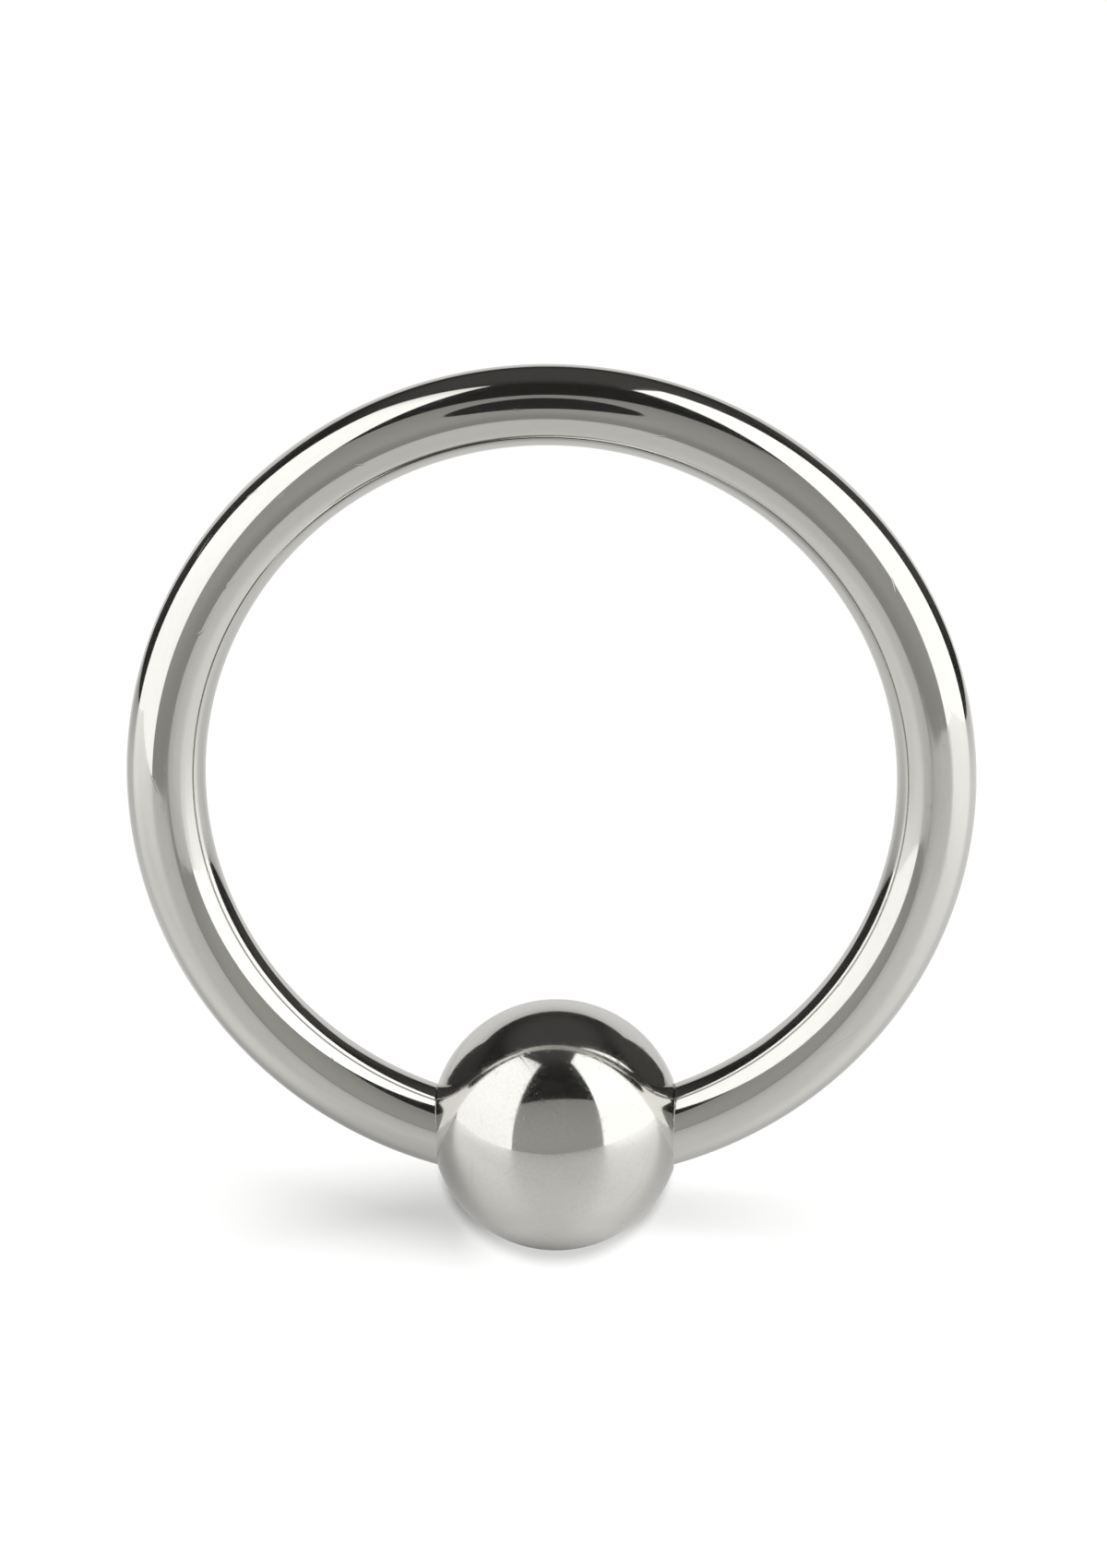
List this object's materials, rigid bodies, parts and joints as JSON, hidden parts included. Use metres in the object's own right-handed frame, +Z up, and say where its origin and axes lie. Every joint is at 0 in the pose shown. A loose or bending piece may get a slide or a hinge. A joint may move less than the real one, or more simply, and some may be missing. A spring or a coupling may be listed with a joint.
{
  "type": "captive bead ring",
  "caption": "Polished round-wire piercing ring, open at one point, with a dimpled ball held captive between the wire's two ends.",
  "frame": {"origin": "middle of the underside of the box round the ring as it lies on its side, on the surface that it lies on", "axes": "+Z up from that surface; +Y across the ring's opening, away from the ball; +X along the line through the ball's two dimples"},
  "size_m": [0.0172, 0.0185, 0.0052],
  "materials": {
    "wire_steel": "mirror-polished, not brushed",
    "bead_steel": "mirror-polished, not brushed"
  },
  "bodies": {
    "ring": {"wire_ring": "wire_steel"},
    "bead": {"captive_bead": "bead_steel"}
  },
  "joints": [
    {"name": "bead_spin", "type": "hinge", "parent": "ring", "child": "bead", "pos_m": [0, -0.00665, 0.0026], "axis": [1, 0, 0], "continuous": true}
  ]
}
